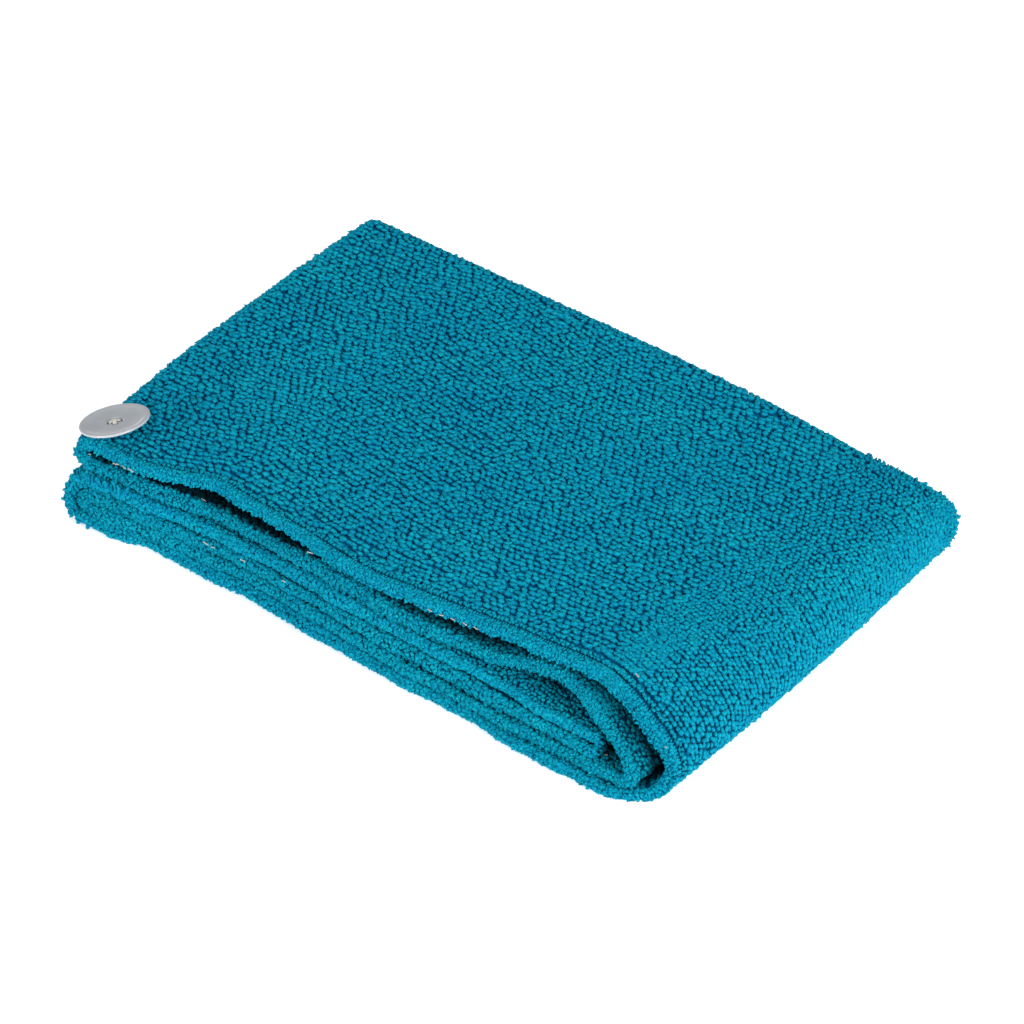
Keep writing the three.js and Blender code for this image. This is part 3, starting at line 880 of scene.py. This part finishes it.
def clouded_material(name, noise, low, high, bump):
    """One colour that varies between two, with a bump from the same noise, and its shader."""
    material, tree, shader = node_material(name)
    clouds = object_noise(tree, *noise)
    ramp = colour_ramp(tree, low, high)
    tree.links.new(clouds.outputs["Fac"], ramp.inputs["Fac"])
    tree.links.new(ramp.outputs["Color"], shader.inputs["Base Color"])
    add_bump(tree, shader, clouds, *bump)
    return material, shader


def plastic_material():
    low = (0.3, (0.40, 0.43, 0.46))
    high = (0.75, (0.47, 0.50, 0.53))
    material, shader = clouded_material("button_plastic", (110.0, 3.0, 0.55), low, high, (0.05, 0.0002))
    set_inputs(shader, Roughness=0.28, Coat_Weight=0.25, Coat_Roughness=0.12)
    return material


def thread_material(name, low, high):
    twist = (2600.0, 2.0, 0.6)
    material, shader = clouded_material(name, twist, (0.3, low), (0.7, high), (0.6, 0.0001))
    set_inputs(shader, Roughness=0.7, Sheen_Weight=0.2)
    return material


# Colours of the terry from the foot of a loop, dark with painted shade, to its crown, and the palest
# crowns, partly painted light.
terry_colours = ((0.0001, 0.095, 0.29), (0.0002, 0.232, 0.375), (0.006, 0.445, 0.50))
lining_colours = ((0.0001, 0.085, 0.25), (0.0002, 0.225, 0.35), (0.005, 0.42, 0.47))
# The ground cloth's colours are darker, as painted shade between the loops.
ground_colours = ((0.0001, 0.075, 0.20), (0.0003, 0.2, 0.33), (0.006, 0.33, 0.44))
terry = terry_material("terry_loops", *terry_colours, 0.12)
lining = terry_material("lining_loops", *lining_colours, 0.12)
ground = terry_material("ground_cloth", *ground_colours, 0.05)
plastic = plastic_material()
white_thread = thread_material("white_thread", (0.50, 0.48, 0.43), (0.80, 0.78, 0.72))
seam_thread = thread_material("seam_thread", (0.24, 0.25, 0.21), (0.54, 0.53, 0.47))


def finish_piece(piece, material):
    piece.data.materials.clear()
    piece.data.materials.append(material)
    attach(piece, "root")
    return piece


# The cloth and its pile.
def towel_cloth():
    outer = ground_wall("outer_cloth", "cover", True)
    inner = ground_wall("inner_cloth", "inner", False)
    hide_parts("outer_panel")
    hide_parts("inner_panel")
    finish_piece(outer, ground)
    finish_piece(inner, ground)
    return outer, inner


def loops(long, wide, high, lean, twist, foot=0.0, **shape):
    """One kind of loop: its size, how far it leans and turns, and how pale the painted shade at its foot
    is.
    """
    return {"long": long, "wide": wide, "high": high, "lean": lean, "twist": twist, "foot": foot, **shape}


coarse = loops(1.95, 1.17, 1.35, 0.22, 0.22, 0.1)
filler = loops(1.15, 0.9, 1.25, 0.3, 1.0, sides=4, rings=fuzz_rings)
grid = loops(1.45, 1.12, 1.3, 0.22, 0.3, 0.1)
fine = loops(1.15, 0.85, 1.2, 0.45, 1.0, 0.55, sides=4, rings=fuzz_rings)
full = {**fine, "long": 1.3, "wide": 1.0, "high": 1.5}
hidden = loops(1.5, 1.25, 1.2, 0.3, 0.6, 0.3, sides=4, rings=fuzz_rings)
flat = {**hidden, "long": 1.9, "wide": 1.7}
stitch = loops(0.42, 0.95, 1.25, 0.04, 0.1, 0.2, rings=fuzz_rings, wobble=0.05)
finger = loops(1.0, 0.85, 2.0, 0.5, 1.5, 0.3, sides=4, rings=finger_rings)
short_finger = {**finger, "high": 1.45}
long_finger = {**finger, "high": 2.9, "foot": 0.65}
scallop = {**finger, "long": 0.9, "wide": 0.85, "high": 2.4, "lean": 0.2, "foot": 0.45}

# Tilts of the loops round an edge, in degrees.
rim_fan = tuple(range(-88, 89, 22))
lining_rim_fan = tuple(range(-84, 85, 28))
tail_end_fan = (-60, -20, 20, 60)

# Insets of a face: all of it, or its far half. Distances past its far edge: on top, round the margin.
all_across = (hem_end, 250)
far_half = (60, 250)
on_top = (-400, 1.0)
on_margin = (0.6, 60)
nape_start = 0.1
opening = (0.2, LOWER)


def far_side_spots(ply):
    """Loops along the far edge of a ply and a strip inside it, seen from the crown side and the nape."""
    inner_faces = (1, -1) if ply == "inner" else (-1,)
    found = [
        rim_spots(ply, (0.2, TAIL_FOLD), 2.2, (-80, -50, -20, 10, 40, 70), far=True),
        rim_spots(ply, (TAIL_FOLD, TIP), 2.4, tail_end_fan, far=True),
    ]
    for side in inner_faces:
        found += [
            face_spots(ply, side, (nape_start, TAIL_FOLD + 4), far_half, 3.0, 2.5, (-9, -1.4)),
            face_spots(ply, side, (TAIL_FOLD - 4, TAIL_FOLD), far_half, 3.0, 2.6, (-40, -9)),
        ]
    if ply == "cover":
        # The far edge of the outer ply is its turned-in margin, which has loops of its own.
        found = found[1:] + [
            face_spots(ply, -1, (nape_start, 2.5), far_half, 2.2, 2.0, (-9, 60)),
            face_spots(ply, -1, (TAIL_FOLD - 4, TAIL_FOLD + 1), far_half, 2.0, 1.8, (-3, 60)),
            margin_spots(ply, (TAIL_FOLD - 5, TAIL_FOLD + 1.5), 1.7, (-80, -45, -10, 25, 60, 88)),
        ]
    return found


def outer_pile():
    """Loops on the outer cloth: top, big fold and turned-in margin, hem, edges, inside and underneath."""
    face, rim, end = (partial(spots, "cover") for spots in (face_spots, rim_spots, end_spots))
    row = partial(row_spots, "cover", 1, opening)
    hem_rows = [row(inset, 1.25, 0.1) for inset in hem_fuzz_rows]
    loop_rows = [row(inset, 1.45, 0.06) for inset in hem_loop_rows]
    stitches = row(hem_stitch_row, 1.0, 0.02)
    sole_edge = face(-1, (LOWER, TAIL_FOLD), (1.4, 9), 1.6, 1.5)
    tail_edge = face(1, (TAIL_FOLD, TIP), (1.4, 12), 1.7, 1.6)
    upper_rim = rim(opening, 1.15, rim_fan)
    lower_rim = rim((LOWER, TIP), 1.35, rim_fan)
    nape = end(0.05, (1, 203), 1.4, rim_fan)
    crease = face(-1, (TAIL_FOLD - 1, TAIL + 1), (0.5, 5), 1.6, 1.5)
    nape_face = face(1, (TAIL_FOLD - 1.2, TAIL_FOLD + 4.6), (9, 250), 2.4, 2.2)
    under_hem = face(-1, (0.3, BEND - 3), (1.4, 13), 2.1, 1.9)
    under_fold = face(-1, (BEND - 3, LOWER), (1.4, 26), 2.1, 1.9)
    tail_top = face(1, (TAIL + 5.2, TIP), (12, 40), 2.3, 2.1)
    sole_fingers = rim((BEND + 3, TAIL_FOLD + 3), 1.9, (-75, -50))
    scallops = rim((BEND + 3.5, TAIL_FOLD + 2), 2.1, (-24,))
    notch = end_spots("inner", 0.05, (0.5, 14), 1.5, (-85, -60, -35))
    fold_top = face(1, (TAIL_FOLD + 3, TAIL + 0.4), (0.5, 9), 1.8, 1.7)
    nape_fingers = end(0.05, (1, 168), 1.6, (-35, 0, 35, 70))
    mouth_fingers = rim((0.2, BEND + 2), 1.7, (-60, -30))
    fold_corner = face(1, (TAIL_FOLD - 0.5, TAIL_FOLD + 6.4), (0.6, 16), 1.9, 1.8)
    far_corner = face(1, (BEND - 1, BEND + 5), (100, 250), 2.2, 2.0, (-5, 10))
    button_tuft = face(1, (nape_start, 2.6), (2.0, 6.0), 1.5, 1.4)
    tail_end = end(TIP - 0.05, (1, 84), 1.8, tail_end_fan)
    edge_loops = join_spots(mouth_fingers, fold_corner, far_corner, button_tuft, tail_end)
    return [
        puffs("loops_top_nape", face(1, (nape_start, 6.5), all_across, from_far=on_top), **coarse),
        puffs("loops_top_middle", face(1, (6.5, BEND - 1), all_across, from_far=on_top), **coarse),
        puffs("loops_fold", face(1, (BEND - 1, LOWER - 0.6), all_across, 2.1, 1.95, on_top), **grid),
        puffs("small_loops_top", face(1, (nape_start, BEND + 1), (10, 250), 3.25, 3.1), **filler),
        puffs("fuzz_hem", join_spots(*hem_rows, *loop_rows, upper_rim, nape), **fine),
        puffs("hem_stitches", stitches, **stitch),
        puffs("fuzz_sole_and_tail", join_spots(sole_edge, tail_edge, lower_rim, crease), **full),
        puffs("loops_outer_inside", join_spots(under_hem, under_fold, tail_top, nape_face), **hidden),
        puffs("loops_outer_edge", edge_loops, **finger),
        puffs("loops_sole_and_nape_edge", join_spots(sole_fingers, nape_fingers), **short_finger),
        puffs("scallops_sole", scallops, **scallop),
        puffs("loops_nape_notch", join_spots(notch, fold_top), **long_finger),
        puffs("loops_underside", face(1, (LOWER - 0.6, TAIL_FOLD - 1.2), (4, 250), 4.0, 3.8), **flat),
        puffs("loops_margin", face(1, (nape_start, TAIL_FOLD), far_half, 2.3, 1.75, on_margin), **grid),
        puffs("loops_far_side", join_spots(*far_side_spots("cover")), **hidden),
    ]


def inner_pile():
    """Loops on the lining: its rims and the strips beside them, the mouth, the tongue and the far side."""
    face, rim, end = (partial(spots, "inner") for spots in (face_spots, rim_spots, end_spots))
    rims = rim((0.2, TIP), 1.5, lining_rim_fan)
    nape = end(0.05, (1, 160), 1.5, rim_fan)
    strips = [
        face(side, stations, (1.4, depth), 1.7, 1.6)
        for side, stations, depth in (
            (1, (0, LOWER), 10),
            (1, (LOWER, TIP), 4.5),
            (-1, (0, 8.5), 4.5),
            (-1, (8.5, LOWER + 3.5), 10),
            (-1, (LOWER + 3.5, TIP), 4.5),
        )
    ]
    lip = rim((0.5, BEND + 2), 1.5, (20, 50, 80))
    tongue = rim((BEND - 3, LOWER + 1), 1.9, (-70, -30, 10, 50))
    crease = rim((TAIL_FOLD - 1.5, TAIL + 1.5), 1.5, (-85, -60, -35, 35, 60, 85))
    tail_end = end(TIP - 0.05, (1, 84), 1.8, tail_end_fan)
    mouth = face(1, (0, BEND - 3), (10, 18), 2.3, 2.1)
    mouth_fold = face(1, (BEND - 3, LOWER - 1), (10, 26), 2.3, 2.1)
    pocket = face(-1, (8.5, LOWER + 3.5), (10, 44), 2.3, 2.1)
    return [
        puffs("fuzz_lining_rims", join_spots(rims, nape), **full),
        puffs("fuzz_lining_strips", join_spots(*strips), **full),
        puffs("loops_mouth", join_spots(mouth, mouth_fold, pocket), **hidden),
        puffs("loops_lining_far_side", join_spots(*far_side_spots("inner")), **hidden),
        puffs("loops_lining_edge", join_spots(lip, tongue, crease, tail_end), **finger),
    ]


# The button, modelled as by hand from a cylinder.
button_radius = 12.5
button_thickness = 2.2
rim_thickness = 1.0
foot_radius = 6.0
button_centre = Vector((-117.6, -69.2, 36.9))
button_tilt_to_nape = 16.6
button_tilt_to_near = -3.2
hole_spacing = 2.7
hole_radius = 0.95
rim_round = 0.38
button_sides = 72
hole_sides = 20
drill_depth = 8
# The face of the button from its rim inwards: how far each ring is inset, and how far it is pressed in.
button_presses = ((0.5, 0.0), (0.6, 0.08), (0.7, 0.25), (1.2, 0.2), (3.0, 0.07), (2.7, 0.0), (0.45, 0.35))


def deselect_all():
    if bpy.context.object is not None and bpy.context.object.mode != "OBJECT":
        bpy.ops.object.mode_set(mode="OBJECT")
    bpy.ops.object.select_all(action="DESELECT")


def select_faces(piece, wanted):
    """Select the wanted faces of a piece alone, in edit mode."""
    mesh = bmesh.from_edit_mesh(piece.data)
    for part in (mesh.verts, mesh.edges, mesh.faces):
        for item in part:
            item.select_set(False)
    for face in mesh.faces:
        if wanted(face):
            face.select_set(True)
    mesh.select_flush_mode()
    bmesh.update_edit_mesh(piece.data)


def button_disc():
    """A cylinder shaped by hand: foot drawn in under a thin rim, then rim, dish and well pressed in."""
    deselect_all()
    bpy.ops.mesh.primitive_cylinder_add(
        vertices=button_sides, radius=button_radius * MM, depth=rim_thickness * MM,
        location=(0, 0, (button_thickness - rim_thickness) / 2 * MM),
    )
    bpy.ops.object.transform_apply(location=True)
    disc = bpy.context.object
    disc.name = "button_disc"
    bpy.ops.object.mode_set(mode="EDIT")
    mesh = bmesh.from_edit_mesh(disc.data)
    for edge in mesh.edges:
        edge.select_set(abs(edge.verts[0].co.z - edge.verts[1].co.z) < 0.1 * MM)
    bmesh.update_edit_mesh(disc.data)
    bpy.ops.mesh.bevel(offset=rim_round * MM, segments=3, profile=0.5, affect="EDGES")
    select_faces(disc, lambda face: face.normal.z > 0.9 and len(face.verts) > 8)
    for inset, drop in button_presses:
        bpy.ops.mesh.inset(thickness=inset * MM, depth=0)
        bpy.ops.transform.translate(value=(0, 0, -drop * MM))
    select_faces(disc, lambda face: face.normal.z < -0.9 and len(face.verts) > 8)
    bpy.ops.mesh.extrude_region_move(
        TRANSFORM_OT_translate={"value": (0, 0, (rim_thickness - button_thickness) * MM)}
    )
    share = foot_radius / (button_radius - rim_round)
    bpy.ops.transform.resize(value=(share, share, 1))
    bpy.ops.object.mode_set(mode="OBJECT")
    for x, y in ((1, 1), (-1, 1), (-1, -1), (1, -1)):
        bpy.ops.mesh.primitive_cylinder_add(
            vertices=hole_sides,
            radius=hole_radius * MM,
            depth=drill_depth * MM,
            location=(x * hole_spacing / 2 * MM, y * hole_spacing / 2 * MM, 0),
        )
        drill = bpy.context.object
        deselect_all()
        bpy.context.view_layer.objects.active = disc
        cut = disc.modifiers.new("hole", "BOOLEAN")
        cut.operation = "DIFFERENCE"
        cut.solver = "EXACT"
        cut.object = drill
        bpy.ops.object.modifier_apply(modifier=cut.name)
        bpy.data.objects.remove(drill, do_unlink=True)
    disc.select_set(True)
    bpy.ops.object.shade_smooth_by_angle(angle=math.radians(35))
    deselect_all()
    return disc


def tube_along(name, points, radius):
    """A round strand through points in millimetres, as a mesh."""
    curve = bpy.data.curves.new(name, "CURVE")
    curve.dimensions = "3D"
    curve.bevel_depth = radius * MM
    curve.bevel_resolution = 2
    curve.use_fill_caps = True
    spline = curve.splines.new("NURBS")
    spline.points.add(len(points) - 1)
    for knot, point in zip(spline.points, points):
        knot.co = (point[0] * MM, point[1] * MM, point[2] * MM, 1)
    spline.order_u = 3
    spline.use_endpoint_u = True
    spline.resolution_u = 6
    strand = bpy.data.objects.new(name, curve)
    bpy.context.scene.collection.objects.link(strand)
    deselect_all()
    bpy.context.view_layer.objects.active = strand
    strand.select_set(True)
    bpy.ops.object.convert(target="MESH")
    strand = bpy.context.object
    for face in strand.data.polygons:
        face.use_smooth = True
    return strand


def join_pieces(name, pieces):
    deselect_all()
    for piece in pieces:
        piece.select_set(True)
    bpy.context.view_layer.objects.active = pieces[0]
    bpy.ops.object.join()
    joined = bpy.context.object
    joined.name = name
    joined.data.name = name
    deselect_all()
    return joined


# The button's thread: three strands a bar, with the place of each point along it and its height over
# the well, and the shank's points: how far out, how far round and how far down.
strand_offsets = (-0.42, 0.0, 0.42)
strand_radius = 0.24
well_depth = 0.95
bar_heights = {45: 0.55, 135: 1.0}
bar_end = ((-1.0, -2.6), (-1.0, -0.6), (-0.95, 0.35))
shank_radius = 0.45
shank_strands = 5
shank_points = ((1.5, 0, 0), (1.2, 0.5, 1.0), (1.0, 0.9, 2.4))


def button_strands():
    """Crossed bundles of sewing thread over the well, with a shank to the cloth."""
    strands = []
    reach = hole_spacing / 2
    well = button_thickness / 2 - well_depth
    other_end = [(-along, height) for along, height in reversed(bar_end)]
    for turn, bar_height in bar_heights.items():
        angle = math.radians(turn)
        for offset in strand_offsets:
            points = []
            for along, height in (*bar_end, (0, bar_height), *other_end):
                spread = along * reach * math.sqrt(2)
                x = spread * math.cos(angle) - offset * math.sin(angle)
                y = spread * math.sin(angle) + offset * math.cos(angle)
                points.append((x, y, well + height))
            strands.append(tube_along("strand", points, strand_radius))
    for k in range(shank_strands):
        turn = math.radians(360 / shank_strands * k)
        points = [
            (out * math.cos(turn + twist), out * math.sin(turn + twist), -button_thickness / 2 - drop)
            for out, twist, drop in shank_points
        ]
        strands.append(tube_along("strand", points, shank_radius))
    return join_pieces("button_strands", strands)


# White seam thread that shows in the creases and on the cloth: middle and half length of each stitch.
seam_stitch_places = (
    ((-106.6, -82.1, 31.9), 1.0), ((-103.7, -81.3, 31.4), 0.9), ((-100.8, -81.0, 31.3), 1.0),
    ((-75.5, -73.0, 25.6), 0.9), ((-24.2, -78.8, 31.1), 1.0),
    ((27.4, -79.4, 31.9), 1.0), ((31.9, -78.9, 31.7), 0.9), ((36.0, -77.9, 31.3), 1.0),
    ((40.7, -77.4, 31.3), 0.9), ((44.9, -76.8, 31.2), 0.9),
    ((-69.1, -80.1, 14.2), 1.0), ((-66.2, -79.8, 13.7), 0.8), ((-52.0, -81.1, 15.7), 0.9),
    ((-33.9, -81.3, 15.6), 0.8), ((-119.8, -80.3, 28.8), 0.35), ((102.3, -80.8, 8.2), 0.7),
    ((103.9, -66.1, 33.5), 0.8), ((125.4, -78.9, 22.0), 0.35),
)
stitch_radius = 0.2
stitch_bow = 0.12


def seam_stitches():
    stitches = []
    for (x, y, z), half in seam_stitch_places:
        slope, drift = random.normal(0, 0.2, 2)
        ends = [(x + s * half, y + s * half * drift, z + s * half * slope) for s in (-1, 1)]
        middle = (x, y - stitch_bow, z + stitch_bow)
        stitches.append(tube_along("stitch", [ends[0], middle, ends[1]], stitch_radius))
    finish_piece(join_pieces("seam_stitches", stitches), seam_thread)


def tilt_on_towel(piece):
    turn = Matrix.Rotation(math.radians(button_tilt_to_near), 4, "X")
    turn = turn @ Matrix.Rotation(-math.radians(button_tilt_to_nape), 4, "Y")
    piece.data.transform(Matrix.Translation(button_centre * MM) @ turn)
    piece.data.update()


def sewn_button():
    disc = button_disc()
    strands = button_strands()
    tilt_on_towel(disc)
    tilt_on_towel(strands)
    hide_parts("button")
    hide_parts("button_thread")
    finish_piece(disc, plastic)
    finish_piece(strands, white_thread)


# The pale floor and the soft light.
def studio():
    deselect_all()
    bpy.ops.mesh.primitive_plane_add(size=8, location=(0, 0, -0.0003))
    floor = bpy.context.object
    floor.name = "floor"
    material, _, shader = node_material("pale_floor")
    set_inputs(shader, Base_Color=(0.9, 0.9, 0.9, 1), Roughness=0.9, Specular_IOR_Level=0.1)
    set_inputs(shader, Emission_Color=(1, 1, 1, 1), Emission_Strength=0.5)
    floor.data.materials.append(material)
    world = bpy.data.worlds.new("studio_air")
    world.use_nodes = True
    set_inputs(world.node_tree.nodes["Background"], Color=(1, 1, 1, 1), Strength=0.42)
    bpy.context.scene.world = world
    for name, place, size, power in (
        ("fold_light", (1.7, -0.4, 0.75), 0.9, 33),
        ("top_light", (-0.3, 0.6, 1.9), 1.4, 5),
        ("near_light", (-0.6, -1.7, 0.6), 1.1, 18),
    ):
        lamp = bpy.data.lights.new(name, "AREA")
        lamp.energy = power
        lamp.shape = "DISK"
        lamp.size = size
        light = bpy.data.objects.new(name, lamp)
        light.location = place
        light.rotation_euler = (-Vector(place)).to_track_quat("-Z", "Y").to_euler()
        bpy.context.scene.collection.objects.link(light)
    bpy.context.scene.view_settings.view_transform = "Standard"


photo_camera()
studio()
outer_cloth, inner_cloth = towel_cloth()
outer_pieces = [finish_piece(piece, terry) for piece in outer_pile()]
inner_pieces = [finish_piece(piece, lining) for piece in inner_pile()]
sewn_button()
seam_stitches()

deselect_all()
